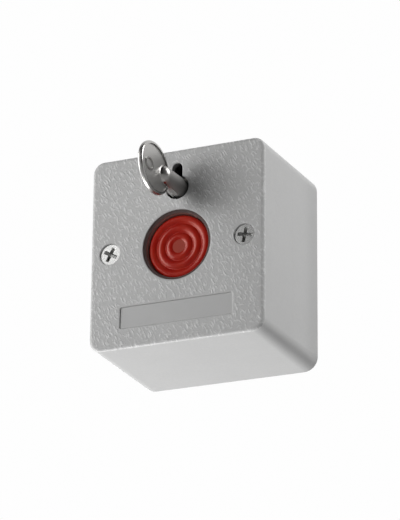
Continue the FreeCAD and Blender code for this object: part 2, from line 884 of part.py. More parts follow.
def bow_oval(half_long, half_wide, thickness, out):
    """Oval disc that stands in the plane of the key's axis, its middle this far out."""
    start = V(key_x - thickness / 2, y_at(-out), key_z)
    along = V(0, -half_long, 0)
    across = V(0, 0, half_wide)
    ellipse = Part.Ellipse(start + along, start + across, start)
    return Part.Face(Part.Wire(ellipse.toShape())).extrude(V(thickness, 0, 0))


def dome_foot_edges(key):
    """Edges where the shank and its dome stand on the bow's web."""
    edges = []
    nearest = y_at(-bow_out)
    for edge in key.Edges:
        span = edge.BoundBox
        flat = span.XLength < PLANE_TOLERANCE
        out = abs(span.XMin - key_x)
        on_web = abs(out - bow_web_thickness / 2) < PLANE_TOLERANCE
        beside = span.ZMax - key_z < shank_r and key_z - span.ZMin < shank_r
        if flat and on_web and beside and span.YMin > nearest:
            edges.append(edge)
    return edges


def make_key():
    bow = bow_oval(bow_half_long, bow_half_wide, bow_thickness, bow_out)
    rims = [edge for edge in bow.Edges if edge.BoundBox.XLength < PLANE_TOLERANCE]
    bow = bow.makeFillet(bow_edge_r, rims)
    deep = (bow_thickness - bow_web_thickness) / 2
    inner_long = bow_half_long - bow_rim_width
    inner_wide = bow_half_wide - bow_rim_width
    mark_place = bow_out + mark_out
    mark_x = bow_web_thickness / 2
    pockets = []
    marks = []
    for side in (-1, 1):
        pocket = bow_oval(inner_long, inner_wide, deep + CUT_PAST, bow_out)
        pocket.translate(V(side * (bow_web_thickness / 2 + (deep + CUT_PAST) / 2), 0, 0))
        pockets.append(pocket)
        mark = bow_oval(mark_half_long, mark_half_wide, 2 * mark_rise, mark_place)
        middle = bow_oval(
            mark_half_long - mark_line, mark_half_wide - mark_line, 4 * mark_rise, mark_place
        )
        mark = mark.cut(middle)
        mark.translate(V(side * mark_x, 0, 0))
        marks.append(mark)
    dome_middle = shank_dome_r - shank_tip_out
    shank = rod(shank_r, key_x, key_z, 0, shank_inner_depth)
    neck = cone(shank_dome_r, shank_r, key_x, key_z, dome_middle, 0)
    dome = Part.makeSphere(shank_dome_r, V(key_x, y_at(dome_middle), key_z))
    bit_top = shank_inner_depth - bit_length
    bit_height = bit_reach - bit_root_r
    bit_z = key_z + bit_root_r + bit_height / 2
    bit = box(key_x, bit_z, bit_width, bit_height, bit_top, shank_inner_depth)
    key = bow.cut(pockets).fuse(marks + [shank, neck, dome, bit])
    return key.makeFillet(dome_foot_r, dome_foot_edges(key))


# Circuit board
def make_circuit_board():
    middle_z = (board_low_z + board_high_z) / 2
    size_z = board_high_z - board_low_z
    board = rounded_plate(
        0, middle_z, board_width, size_z, board_corner_r, board_front, board_back
    )
    start = board_front - CUT_PAST
    end = board_back + CUT_PAST
    cuts = post_clearances(start, end)
    for x, z in standoff_places():
        cuts.append(rod(tapper_r + tapper_hole_gap, x, z, start, end))
    slot_x = terminal_width + 2 * thread_gap
    slot_z = terminal_thickness + 2 * thread_gap
    for x in terminal_places():
        cuts.append(box(x, button_z, slot_x, slot_z, start, end))
    slot_x = contact_thickness + 2 * thread_gap
    slot_z = contact_pin_width + 2 * thread_gap
    for x in contact_pin_places():
        cuts.append(box(x, cell_z, slot_x, slot_z, start, end))
    return board.cut(cuts)


# Microswitch
def switch_middle_x():
    """X of the middle of the switch's body."""
    return pin_x - switch_body_end + switch_body_length / 2


def terminal_places():
    """X of the three terminals under the switch."""
    middle = switch_middle_x()
    return [middle + step * terminal_pitch for step in (-1, 0, 1)]


def make_switch_body():
    middle = switch_middle_x()
    body = box(middle, button_z, switch_body_length, switch_body_width, switch_top, board_front)
    ears = []
    ear_height = lever_pin_rise + lever_knuckle_r
    ear_z = lever_width / 2 + lever_side_gap + lever_ear_thickness / 2
    for side in (-1, 1):
        ears.append(
            box(
                pin_x,
                button_z + side * ear_z,
                2 * lever_knuckle_r,
                lever_ear_thickness,
                switch_top - ear_height,
                switch_top + CUT_PAST,
            )
        )
    body = body.fuse(ears)
    bore_end = plunger_top_pressed + plunger_length + plunger_bore_foot
    plunger_x = pin_x + switch_plunger_arm
    bore = rod(plunger_r + plunger_bore_gap, plunger_x, button_z, switch_top - CUT_PAST, bore_end)
    pin_length = 2 * ear_z + lever_ear_thickness + 2 * CUT_PAST
    pin_hole = Part.makeCylinder(
        lever_pin_r + lever_pin_gap / 2,
        pin_length,
        V(pin_x, y_at(pin_depth), button_z - pin_length / 2),
    )
    start = board_front - terminal_sink
    end = board_front + CUT_PAST
    slots = []
    for x in terminal_places():
        slots.append(box(x, button_z, terminal_width, terminal_thickness, start, end))
    return body.cut([bore, pin_hole] + slots)


def make_lever_pin():
    half = lever_width / 2 + lever_side_gap + lever_ear_thickness
    return Part.makeCylinder(
        lever_pin_r, 2 * half, V(pin_x, y_at(pin_depth), button_z - half)
    )


def make_switch_lever():
    knuckle = Part.makeCylinder(
        lever_knuckle_r, lever_width, V(pin_x, y_at(pin_depth), button_z - lever_width / 2)
    )
    blade = Part.makeBox(
        lever_length,
        lever_thickness,
        lever_width,
        V(pin_x, y_at(pin_depth) - lever_thickness / 2, button_z - lever_width / 2),
    )
    hole = Part.makeCylinder(
        lever_pin_r + lever_pin_gap,
        lever_width + 2 * CUT_PAST,
        V(pin_x, y_at(pin_depth), button_z - lever_width / 2 - CUT_PAST),
    )
    lever = knuckle.fuse(blade).cut(hole)
    lever.rotate(V(pin_x, y_at(pin_depth), button_z), UPWARD, -lever_rest_deg)
    return lever


def make_switch_plunger():
    top = plunger_top_pressed - plunger_rise
    x = pin_x + switch_plunger_arm
    bar = rod(plunger_r, x, button_z, top + plunger_r, top + plunger_length)
    dome = Part.makeSphere(plunger_r, V(x, y_at(top + plunger_r), button_z))
    return bar.fuse(dome)


def make_switch_terminals():
    start = board_front - terminal_sink
    end = board_back + terminal_below
    return [
        box(x, button_z, terminal_width, terminal_thickness, start, end)
        for x in terminal_places()
    ]


# Battery
def contact_pin_places():
    """X of the two contacts' pins."""
    place = holder_inner_half - contact_thickness / 2
    return [-place, place]


def make_battery_holder():
    floor_top = board_front - holder_floor
    size_x = 2 * holder_half_length
    block = box(0, cell_z, size_x, 2 * holder_half_width, cell_depth, board_front)
    hollow_x = 2 * holder_inner_half
    hollow_z = 2 * (cell_r + cell_gap)
    cuts = [box(0, cell_z, hollow_x, hollow_z, cell_depth - CUT_PAST, floor_top)]
    slot_x = contact_thickness + 2 * thread_gap
    slot_z = contact_pin_width + 2 * thread_gap
    start = floor_top - CUT_PAST
    for x in contact_pin_places():
        cuts.append(box(x, cell_z, slot_x, slot_z, start, board_front + CUT_PAST))
    return block.cut(cuts)


def make_battery_cell():
    cap_end = holder_inner_half - contact_thickness - contact_leaf_gap
    can_end = cap_end - cell_cap_length
    middle = V(can_end, y_at(cell_depth), cell_z)
    can = Part.makeCylinder(cell_r, cell_length, middle, RIGHTWARD * -1)
    rims = [edge for edge in can.Edges if edge.BoundBox.XLength < PLANE_TOLERANCE]
    can = can.makeFillet(cell_edge_r, rims)
    start = middle - RIGHTWARD * cell_edge_r
    cap = Part.makeCylinder(cell_cap_r, cell_cap_length + cell_edge_r, start, RIGHTWARD)
    return can.fuse(cap)


def contact_plate(x):
    """Upright contact strip with its pin through the board."""
    floor_top = board_front - holder_floor
    plate = box(x, cell_z, contact_thickness, contact_width, cell_depth, floor_top)
    end = board_back + contact_pin_below
    pin = box(x, cell_z, contact_thickness, contact_pin_width, cell_depth, end)
    return plate.fuse(pin)


def make_contact_positive():
    return contact_plate(contact_pin_places()[1])


def make_contact_negative():
    x = contact_pin_places()[0]
    plate = contact_plate(x)
    face_x = x + contact_thickness / 2
    leaf_top = cell_depth + contact_leaf_margin
    leaf_end = board_front - holder_floor - contact_leaf_margin
    middle = (leaf_top + leaf_end) / 2
    outer = [
        V(face_x, y_at(leaf_top), 0),
        V(face_x + contact_leaf_bow, y_at(middle), 0),
        V(face_x, y_at(leaf_end), 0),
    ]
    bow = Part.Arc(*outer).toShape()
    chord = Part.LineSegment(outer[2], outer[0]).toShape()
    bump = Part.Face(Part.Wire([bow, chord])).extrude(V(0, 0, contact_width / 2))
    bump.translate(V(0, 0, cell_z - contact_width / 4))
    return plate.fuse(bump)


# Transmitter
def make_radio_module():
    return box(
        module_x,
        module_z,
        module_length,
        module_width,
        board_front - module_thickness,
        board_front,
    )


def make_radio_shield():
    top = board_front - module_thickness - shield_thickness
    can = box(shield_x, module_z, shield_length, shield_width, top, board_front - module_thickness)
    return can.makeFillet(shield_edge_r, face_side_edges(can, top))


def make_antenna_coil():
    axis_depth = board_front - antenna_foot - antenna_coil_r - antenna_wire_r
    antenna = coil(antenna_coil_r, antenna_wire_r, antenna_turns, antenna_pitch, RIGHTWARD)
    antenna.translate(V(antenna_x, y_at(axis_depth), antenna_z))
    foot_z = antenna_z - antenna_coil_r
    foot_top = axis_depth - antenna_wire_r / 2
    feet = []
    for x in (antenna_x, antenna_x + antenna_turns * antenna_pitch):
        feet.append(rod(antenna_foot_r, x, foot_z, foot_top, board_front))
    return antenna.fuse(feet)


def make_controller_chip():
    top = board_front - chip_thickness
    legs = []
    for index in range(chip_leg_count):
        z = chip_z + (index - (chip_leg_count - 1) / 2) * chip_leg_pitch
        leg_top = board_front - chip_leg_thickness
        length = chip_width + 2 * chip_leg_reach
        legs.append(box(chip_x, z, length, chip_leg_width, leg_top, board_front))
    return box(chip_x, chip_z, chip_width, chip_length, top, board_front).fuse(legs)


def make_buffer_capacitor():
    top = board_front - capacitor_height
    can = rod(capacitor_r, capacitor_x, capacitor_z, top, board_front)
    return can.makeFillet(capacitor_edge_r, face_side_edges(can, top))


def make_timing_crystal():
    top = board_front - crystal_height
    return rounded_plate(
        crystal_x,
        crystal_z,
        crystal_length,
        crystal_width,
        crystal_corner_r,
        top,
        board_front,
    )


def make_chip_parts():
    parts = []
    for index in range(small_part_count):
        x = small_part_x + index * small_part_pitch
        parts.append(
            box(
                x,
                small_part_z,
                small_part_length,
                small_part_width,
                board_front - small_part_height,
                board_front,
            )
        )
    return parts


def save_group(shapes, node):
    """Write separate like solids as one sub-part."""
    save(Part.makeCompound(shapes), node)


def main():
    save(make_front_cover(), "front_cover")
    save(make_base_plate(), "base_plate")
    left, right = cover_screw_places()
    save(make_cover_screw(left, left_cross_turn_deg), "cover_screw_left")
    save(make_cover_screw(right, right_cross_turn_deg), "cover_screw_right")
    save(make_button_ring(), "button_ring")
    save(make_button_cap(), "button_cap")
    save(make_button_spring(), "button_spring")
    save(make_mechanism_plate(), "mechanism_plate")
    save_group(make_plate_screws(), "plate_screws")
    save(make_latch_wire(), "latch_wire")
    save(make_lock_rotor(), "lock_rotor")
    save(make_release_cam(), "release_cam")
    save(make_cam_screw(), "cam_screw")
    save(make_key(), "key")
    save(make_circuit_board(), "circuit_board")
    save_group(make_board_screws(), "board_screws")
    save(make_switch_body(), "switch_body")
    save(make_lever_pin(), "lever_pin")
    save(make_switch_lever(), "switch_lever")
    save(make_switch_plunger(), "switch_plunger")
    save_group(make_switch_terminals(), "switch_terminals")
    save(make_battery_holder(), "battery_holder")
    save(make_battery_cell(), "battery_cell")
    save(make_contact_positive(), "battery_contact_positive")
    save(make_contact_negative(), "battery_contact_negative")
    save(make_radio_module(), "radio_module")
    save(make_radio_shield(), "radio_shield")
    save(make_antenna_coil(), "antenna_coil")
    save(make_controller_chip(), "controller_chip")
    save(make_timing_crystal(), "timing_crystal")
    save(make_buffer_capacitor(), "buffer_capacitor")
    save_group(make_chip_parts(), "chip_parts")


main()
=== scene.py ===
import json
import math

import bmesh
import bpy
from mathutils import Matrix, Vector


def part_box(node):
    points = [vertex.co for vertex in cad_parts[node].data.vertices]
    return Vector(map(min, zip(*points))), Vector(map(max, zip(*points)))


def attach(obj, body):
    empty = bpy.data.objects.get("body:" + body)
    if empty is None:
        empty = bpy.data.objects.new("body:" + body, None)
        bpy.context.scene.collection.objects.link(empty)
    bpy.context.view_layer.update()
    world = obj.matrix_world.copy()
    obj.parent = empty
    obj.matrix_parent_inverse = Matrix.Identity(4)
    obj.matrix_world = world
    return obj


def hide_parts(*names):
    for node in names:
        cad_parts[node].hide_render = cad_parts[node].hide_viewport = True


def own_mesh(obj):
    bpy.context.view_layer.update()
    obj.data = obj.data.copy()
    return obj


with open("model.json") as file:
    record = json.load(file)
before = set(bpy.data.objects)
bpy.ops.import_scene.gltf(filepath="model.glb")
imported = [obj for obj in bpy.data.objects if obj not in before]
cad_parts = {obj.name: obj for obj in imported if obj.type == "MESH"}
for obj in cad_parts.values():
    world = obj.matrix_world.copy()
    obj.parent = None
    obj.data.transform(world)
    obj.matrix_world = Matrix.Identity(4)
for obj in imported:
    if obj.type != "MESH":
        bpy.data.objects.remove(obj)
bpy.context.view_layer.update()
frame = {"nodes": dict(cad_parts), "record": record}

# Keyed wireless panic button. Lengths are in metres unless a name says otherwise,
# +X is right, +Z is up and the face looks along -Y.

MM = 0.001
TAU = 2 * math.pi

nodes = frame["nodes"]
scene = bpy.context.scene


def centre_of(node):
    """Middle of a CAD node's box."""
    low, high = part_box(node)
    return (Vector(low) + Vector(high)) / 2


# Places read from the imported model
COVER_LOW, COVER_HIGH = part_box("front_cover")
FACE_Y = COVER_LOW[1]
FLANK_X = COVER_HIGH[0]
SCREW_FACE_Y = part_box("cover_screw_left")[0][1]
BUTTON = centre_of("button_cap")
LOCK = centre_of("lock_rotor")

# Camera, from the outline of the object in the photograph
AIM = Vector((-0.0020, -0.0230, 0.0028))
CAMERA_DISTANCE = 1.0495
CAMERA_AZIMUTH_DEG = 24.54
CAMERA_ELEVATION_DEG = -20.52
CAMERA_ROLL = math.radians(0.60)
CAMERA_LENS_MM = 198.4
SENSOR_MM = 36.0

# Node trees
BEVEL_SAMPLES = 6
NOISE_RANGE = (0.3, 0.7)
FINE_RANGE = (0.25, 0.75)
UNEVEN_ROUGHNESS = 0.03


class Graph:
    """A node tree, with a short way to add nodes and join them."""

    def __init__(self, tree):
        self.tree = tree
        tree.nodes.clear()

    def add(self, kind, inputs=None, **settings):
        """New node with these settings. An input takes a value or another node's output."""
        node = self.tree.nodes.new(kind)
        for key, value in settings.items():
            setattr(node, key, value)
        for key, value in (inputs or {}).items():
            self.put(node.inputs[key], value)
        return node

    def put(self, socket, value):
        """Set a socket to a value, or join it to an output."""
        if isinstance(value, bpy.types.NodeSocket):
            self.tree.links.new(value, socket)
        elif isinstance(value, (tuple, list)) and socket.type == "RGBA" and len(value) == 3:
            socket.default_value = (*value, 1.0)
        else:
            socket.default_value = value

    def math(self, operation, first, second=0.0, third=0.0):
        """Result of an operation on up to three numbers."""
        inputs = {0: first, 1: second, 2: third}
        return self.add("ShaderNodeMath", inputs, operation=operation).outputs[0]

    def times(self, *factors):
        """Product of the factors."""
        product = factors[0]
        for factor in factors[1:]:
            product = self.math("MULTIPLY", product, factor)
        return product

    def rest_of(self, share):
        """What a share leaves of 1."""
        return self.math("SUBTRACT", 1.0, share)

    def vectors(self, operation, inputs, output="Vector"):
        """Result of an operation on vectors."""
        node = self.add("ShaderNodeVectorMath", inputs, operation=operation)
        return node.outputs[output]

    def ramp(self, value, low, high, low_out=0.0, high_out=1.0, smooth=True):
        """Value mapped from low..high to low_out..high_out and held there."""
        inputs = {
            "Value": value,
            "From Min": low,
            "From Max": high,
            "To Min": low_out,
            "To Max": high_out,
        }
        kind = "SMOOTHSTEP" if smooth else "LINEAR"
        return self.add("ShaderNodeMapRange", inputs, interpolation_type=kind).outputs["Result"]

    def spread(self, noise, low_out, high_out):
        """A noise's usual range mapped evenly to low_out..high_out."""
        return self.ramp(noise, *NOISE_RANGE, low_out, high_out, smooth=False)

    def tint(self, share, tone, smooth=True):
        """1 where the share is 0, going to the tone where it is 1."""
        return self.ramp(share, 0.0, 1.0, 1.0, tone, smooth)

    def mix(self, share, first, second):
        """Number between first and second."""
        inputs = {0: share, 2: first, 3: second}
        return self.add("ShaderNodeMix", inputs, data_type="FLOAT").outputs[0]

    def blend(self, share, first, second, mode="MIX"):
        """Colour between first and second."""
        inputs = {0: share, 6: first, 7: second}
        return self.add("ShaderNodeMix", inputs, data_type="RGBA", blend_type=mode).outputs[2]

    def toned(self, color, tone):
        """Colour times a tone."""
        return self.blend(1.0, color, tone, mode="MULTIPLY")


class Finish(Graph):
    """A material's node tree, between its object coordinates and its surface shader."""

    def __init__(self, name):
        self.material = bpy.data.materials.new(name)
        self.material.use_nodes = True
        super().__init__(self.material.node_tree)
        self.shader = self.add("ShaderNodeBsdfPrincipled")
        self.add("ShaderNodeOutputMaterial", {"Surface": self.shader.outputs[0]})
        self.coordinates = self.add("ShaderNodeTexCoord").outputs["Object"]

    def set(self, **inputs):
        """Set inputs of the surface shader by name, with _ for a space."""
        for key, value in inputs.items():
            self.put(self.shader.inputs[key.replace("_", " ")], value)

    def axes(self, source=None):
        """X, Y and Z of the object coordinates or of another vector."""
        node = self.add("ShaderNodeSeparateXYZ", {"Vector": source or self.coordinates})
        return node.outputs["X"], node.outputs["Y"], node.outputs["Z"]

    def stretched(self, scale=(1, 1, 1), turn=(0, 0, 0), source=None):
        """Object coordinates, scaled and turned for a texture."""
        inputs = {"Vector": source or self.coordinates, "Rotation": turn, "Scale": scale}
        return self.add("ShaderNodeMapping", inputs).outputs["Vector"]

    def noise(self, size, detail=2.0, roughness=0.5, source=None, output="Fac"):
        """Noise between about 0 and 1 whose features are about this large."""
        inputs = {
            "Vector": source or self.coordinates,
            "Scale": 1.0 / size,
            "Detail": detail,
            "Roughness": roughness,
        }
        return self.add("ShaderNodeTexNoise", inputs).outputs[output]

    def warped(self, size, reach):
        """Object coordinates pushed about by noise, by up to half the reach."""
        push = self.noise(size, detail=1.0, output="Color")
        centred = self.vectors("SUBTRACT", {0: push, 1: (0.5, 0.5, 0.5)})
        scaled = self.vectors("SCALE", {0: centred, "Scale": reach})
        return self.vectors("ADD", {0: self.coordinates, 1: scaled})

    def relief(self, height, rounding):
        """Normal bent by a height, over edges that are rounded by this radius."""
        eased = self.add("ShaderNodeBevel", {"Radius": rounding}, samples=BEVEL_SAMPLES)
        inputs = {
            "Height": height,
            "Distance": 1.0,
            "Strength": 1.0,
            "Normal": eased.outputs["Normal"],
        }
        return self.add("ShaderNodeBump", inputs).outputs["Normal"]


def inside(g, value, centre, half, soft):
    """1 where the value lies within half of the centre, falling to 0 over the soft width."""
    away = g.math("ABSOLUTE", g.math("SUBTRACT", value, centre))
    return g.ramp(away, half, half + soft, 1.0, 0.0)


def radius_from(g, x, z, centre):
    """Distance from the Y line through this centre."""
    across = g.math("SUBTRACT", x, centre.x)
    up = g.math("SUBTRACT", z, centre.z)
    return g.math("SQRT", g.math("ADD", g.math("POWER", across, 2.0), g.math("POWER", up, 2.0)))


def uneven(g, roughness, fine):
    """Roughness that varies a little with a fine noise."""
    change = g.ramp(fine, *FINE_RANGE, -UNEVEN_ROUGHNESS, UNEVEN_ROUGHNESS)
    return g.math("ADD", roughness, change)


def dress(node, material):
    """Give a CAD node or a new piece its only material."""
    piece = nodes[node] if isinstance(node, str) else node
    piece.data.materials.clear()
    piece.data.materials.append(material)
    for face in piece.data.polygons:
        face.material_index = 0


# Cover: moulded plastic with a leather grain on the face and a fine grain elsewhere
COVER_GREY = (0.46, 0.46, 0.458)
COVER_ROUNDING = 0.12 * MM
CLOUD_SIZE = 14 * MM
CLOUD_TONES = (0.98, 1.02)
SPECKLE_SIZE = 0.5 * MM
SPECKLE_TONES = (0.975, 1.025)
SPARK_SIZE = 0.22 * MM
SPARK_RISE = 0.006 * MM
GLOSS_PATCH = 1.2 * MM
GLOSS_PATCH_ROUGHNESS = (0.44, 0.52)

# Leather grain: leaning strokes, and broken ridges between long pebbles
GRAIN_DEPTH = 0.9 * MM
GRAIN_FADE = 0.7 * MM
GRAIN_MARGIN = 0.35 * MM
# Painted highlight on the raised strokes and ridges of the grain, and painted shade in the ground
# between them
GRAIN_HIGHLIGHT_TONE = 1.23
GROUND_SHADE_TONE = 0.965
GRAIN_HIGHLIGHT_RANGE = (0.1, 0.9)
WARP_SIZE = 2.2 * MM
WARP_REACH = 1.3 * MM
STROKE_LEAN = math.radians(26.8)
STROKE_PITCH = 1.0 * MM
STROKE_STRETCH = 3.8
STROKE_SHARE = 0.46
STROKE_RISE = 0.07 * MM
STROKE_CHANCE = (0.15, 0.7)
PEBBLE_SIZE = 1.5 * MM
PEBBLE_STRETCH = 1.9
RIDGE_SHARE = 0.27
RIDGE_RISE = 0.055 * MM
RIDGE_BREAK_SIZE = 1.5 * MM
RIDGE_BREAK = (0.46, 0.60)
RIDGE_PROUD = 0.7
WRINKLE_SIZE = 0.7 * MM
WRINKLE_SCALE = (1.0, 0.5, 0.6)
WRINKLE_RISE = 0.03 * MM

# Painted highlight: a lighter line round the face's edge
EDGE_LINE_DEPTH = 0.95 * MM
EDGE_LINE_HALF = 0.3 * MM
EDGE_LINE_SOFT = 0.45 * MM
EDGE_HIGHLIGHT_TONE = 1.17
HIGHLIGHT_SPECK_SIZE = 0.9 * MM
HIGHLIGHT_SPECK_BREAK = (0.40, 0.62)
HIGHLIGHT_SPECK_LEFT = 0.3

# Label recess
LABEL_HALF_X = 21.9 * MM
LABEL_HALF_Z = 4.0 * MM
LABEL_Z = -25.2 * MM
LABEL_TONE = 0.985
LABEL_FLOOR_START = 0.2 * MM
LABEL_FLOOR_END = 0.4 * MM
LABEL_ROUGHNESS = 0.5
BORDER_WIDTH = 0.3 * MM
BORDER_DEPTH = 0.3 * MM
BORDER_END = 0.5 * MM
# Painted highlight on the label's border, lightest on the right
BORDER_HIGHLIGHT_TONE = 1.04
BORDER_RIGHT_HIGHLIGHT_TONE = 1.12

# Mould line, flanks, and the holes for the button and the key
MOULD_LINE_DEPTH = 25.5 * MM
MOULD_LINE_HALF = 0.05 * MM
MOULD_LINE_SOFT = 0.12 * MM
MOULD_LINE_RISE = 0.03 * MM
MOULD_LINE_TONE = 0.965
FLANK_START = 0.4 * MM
FLANK_FULL = 0.1 * MM
REAR_START = 33 * MM
REAR_END = 45 * MM
# Painted shade on the flanks toward the wall
REAR_SHADE_TONE = 0.90
BUTTON_HOLE_R = 13.3 * MM
KEYHOLE_REACH = 10 * MM
KEYHOLE_SOFT = 0.3 * MM
BORE_START = 0.25 * MM
BORE_FULL = 0.6 * MM
BORE_END = 8 * MM
BORE_GONE = 9 * MM
# Painted shade down the keyhole's bore
BORE_SHADE_TONE = 0.45


def plane_cells(g, across, along, stretch, pitch, feature):
    """Flat cell pattern, drawn out along its second axis."""
    shorter = g.math("DIVIDE", along, stretch)
    flat = g.add("ShaderNodeCombineXYZ", {"X": across, "Y": shorter}).outputs[0]
    inputs = {"Vector": flat, "Scale": 1.0 / pitch}
    return g.add("ShaderNodeTexVoronoi", inputs, voronoi_dimensions="2D", feature=feature)


def leather_height(g):
    """Raised grain of the face, in metres, and how proud it stands from 0 to 1.

    Leaning strokes and broken ridges between long pebbles stand on a faintly wrinkled ground.
    """
    leaning = g.stretched(turn=(0, STROKE_LEAN, 0), source=g.warped(WARP_SIZE, WARP_REACH))
    across, _, along = g.axes(leaning)
    spots = plane_cells(g, across, along, STROKE_STRETCH, STROKE_PITCH, "F1")
    chance, _, _ = g.axes(spots.outputs["Color"])
    stroke = g.times(
        g.ramp(spots.outputs["Distance"], 0.0, STROKE_SHARE, 1.0, 0.0),
        g.ramp(chance, *STROKE_CHANCE, smooth=False),
    )
    pebbles = plane_cells(g, across, along, PEBBLE_STRETCH, PEBBLE_SIZE, "DISTANCE_TO_EDGE")
    ridge = g.times(
        g.ramp(pebbles.outputs["Distance"], 0.0, RIDGE_SHARE, 1.0, 0.0),
        g.ramp(g.noise(RIDGE_BREAK_SIZE, detail=1.0), *RIDGE_BREAK),
    )
    drawn = g.stretched(scale=WRINKLE_SCALE, source=leaning)
    wrinkle = g.noise(WRINKLE_SIZE, detail=1.0, roughness=0.4, source=drawn)
    height = g.times(wrinkle, WRINKLE_RISE)
    height = g.math("MULTIPLY_ADD", ridge, RIDGE_RISE, height)
    height = g.math("MULTIPLY_ADD", stroke, STROKE_RISE, height)
    proud = g.math("MAXIMUM", stroke, g.times(ridge, RIDGE_PROUD))
    return height, proud


def in_label(g, x, z, margin):
    """1 within the label recess and this far around it."""
    across = inside(g, x, 0.0, LABEL_HALF_X + margin, GRAIN_MARGIN)
    up = inside(g, z, LABEL_Z, LABEL_HALF_Z + margin, GRAIN_MARGIN)
    return g.times(across, up)


def grained_area(g, x, z, depth):
    """1 where the cover has its leather grain: the face without its label and button hole."""
    on_face = g.ramp(depth, GRAIN_DEPTH, GRAIN_DEPTH + GRAIN_FADE, 1.0, 0.0)
    off_label = g.rest_of(in_label(g, x, z, GRAIN_MARGIN))
    start = BUTTON_HOLE_R + GRAIN_MARGIN
    off_hole = g.ramp(radius_from(g, x, z, BUTTON), start, start + GRAIN_MARGIN)
    return g.times(on_face, off_label, off_hole)


def edge_painted_highlight(g, x, z, depth):
    """Painted highlight: a lighter line round the face's edge, stronger in some specks than
    between them.
    """
    line = inside(g, depth, EDGE_LINE_DEPTH, EDGE_LINE_HALF, EDGE_LINE_SOFT)
    specks = g.ramp(g.noise(HIGHLIGHT_SPECK_SIZE), *HIGHLIGHT_SPECK_BREAK, HIGHLIGHT_SPECK_LEFT, 1.0)
    off_label = g.rest_of(in_label(g, x, z, GRAIN_MARGIN))
    return g.tint(g.times(line, specks, off_label), EDGE_HIGHLIGHT_TONE)


def label_tone_and_highlight(g, x, z, depth, floor):
    """Slightly darker floor of the label recess, and a painted highlight on its border, lightest
    on the right.
    """
    border = g.math("SUBTRACT", in_label(g, x, z, BORDER_WIDTH), floor)
    border = g.times(border, g.ramp(depth, BORDER_DEPTH, BORDER_END, 1.0, 0.0))
    start = LABEL_HALF_X - BORDER_WIDTH
    # painted highlight on the border, lightest on the right
    border_highlight = g.ramp(x, start, LABEL_HALF_X, BORDER_HIGHLIGHT_TONE, BORDER_RIGHT_HIGHLIGHT_TONE)
    return g.times(g.tint(floor, LABEL_TONE), g.mix(border, 1.0, border_highlight))


def flank_painted_shade(g, x, depth):
    """Painted shade: the left and right sides darken toward the wall, where less light reaches
    them.
    """
    flank = g.ramp(g.math("ABSOLUTE", x), FLANK_X - FLANK_START, FLANK_X - FLANK_FULL)
    # painted shade toward the wall
    rear = g.times(flank, g.ramp(depth, REAR_START, REAR_END))
    return g.tint(rear, REAR_SHADE_TONE, smooth=False)


def bore_painted_shade(g, x, z, depth):
    """Painted shade down the bore of the keyhole."""
    radius = radius_from(g, x, z, LOCK)
    near = g.ramp(radius, KEYHOLE_REACH, KEYHOLE_REACH + KEYHOLE_SOFT, 1.0, 0.0)
    below_face = g.ramp(depth, BORE_START, BORE_FULL)
    in_wall = g.ramp(depth, BORE_END, BORE_GONE, 1.0, 0.0)
    return g.tint(g.times(near, below_face, in_wall), BORE_SHADE_TONE)


def case_material():
    """Grey moulded plastic of the cover and the base plate."""
    g = Finish("case_grey")
    x, y, z = g.axes()
    depth = g.math("SUBTRACT", y, FACE_Y)
    grained = grained_area(g, x, z, depth)
    leather, proud = leather_height(g)
    label = in_label(g, x, z, 0.0)
    floor = g.times(label, g.ramp(depth, LABEL_FLOOR_START, LABEL_FLOOR_END))
    mould_line = inside(g, depth, MOULD_LINE_DEPTH, MOULD_LINE_HALF, MOULD_LINE_SOFT)

    spark = g.times(g.noise(SPARK_SIZE, roughness=0.6), g.mix(label, SPARK_RISE, 0.0))
    height = g.math("ADD", spark, g.times(leather, grained))
    height = g.math("MULTIPLY_ADD", mould_line, MOULD_LINE_RISE, height)

    speckle = g.spread(g.noise(SPECKLE_SIZE, detail=1.0), *SPECKLE_TONES)
    tone = g.times(
        g.spread(g.noise(CLOUD_SIZE, detail=3.0, roughness=0.55), *CLOUD_TONES),
        # painted highlight on the grain's raised parts, painted shade on the ground between them
        g.ramp(g.times(proud, grained), *GRAIN_HIGHLIGHT_RANGE, GROUND_SHADE_TONE, GRAIN_HIGHLIGHT_TONE),
        # painted highlight along the face's edge
        edge_painted_highlight(g, x, z, depth),
        label_tone_and_highlight(g, x, z, depth, floor),
        g.mix(floor, speckle, 1.0),
        flank_painted_shade(g, x, depth),
        g.tint(mould_line, MOULD_LINE_TONE),
        # painted shade down the keyhole's bore
        bore_painted_shade(g, x, z, depth),
    )
    rough = g.ramp(g.noise(GLOSS_PATCH), *NOISE_RANGE, *GLOSS_PATCH_ROUGHNESS)
    g.set(
        Base_Color=g.toned(COVER_GREY, tone),
        Roughness=g.mix(floor, rough, LABEL_ROUGHNESS),
        Normal=g.relief(height, COVER_ROUNDING),
        Specular_IOR_Level=0.4,
    )
    return g.material


# Metals
METAL_ROUNDING = 0.06 * MM
METAL_TONES = (0.93, 1.04)
METAL_CLOUD_GRAINS = 14

BOW_FLAT = (0.44, 0.432, 0.42)
# Painted shade: the shank's darker base colour
SHANK_SHADE_COLOR = (0.30, 0.295, 0.287)
BOW_RIM_START = (0.55 * MM, 0.8 * MM)
BOW_RIM_END = (1.2 * MM, 1.5 * MM)
SHANK_START = (1.0 * MM, 1.3 * MM)
SHANK_DEPTH = (-13 * MM, -11 * MM)
BOW_ROUGHNESS = 0.34
RIM_ROUGHNESS = 0.17
SHANK_ROUGHNESS = 0.62
KEY_ROUNDING = 0.12 * MM
KEY_FINE = 0.4 * MM
KEY_SWIRL = 1.8 * MM
KEY_SWIRL_RISE = 0.004 * MM
KEY_FINE_RISE = 0.0006 * MM

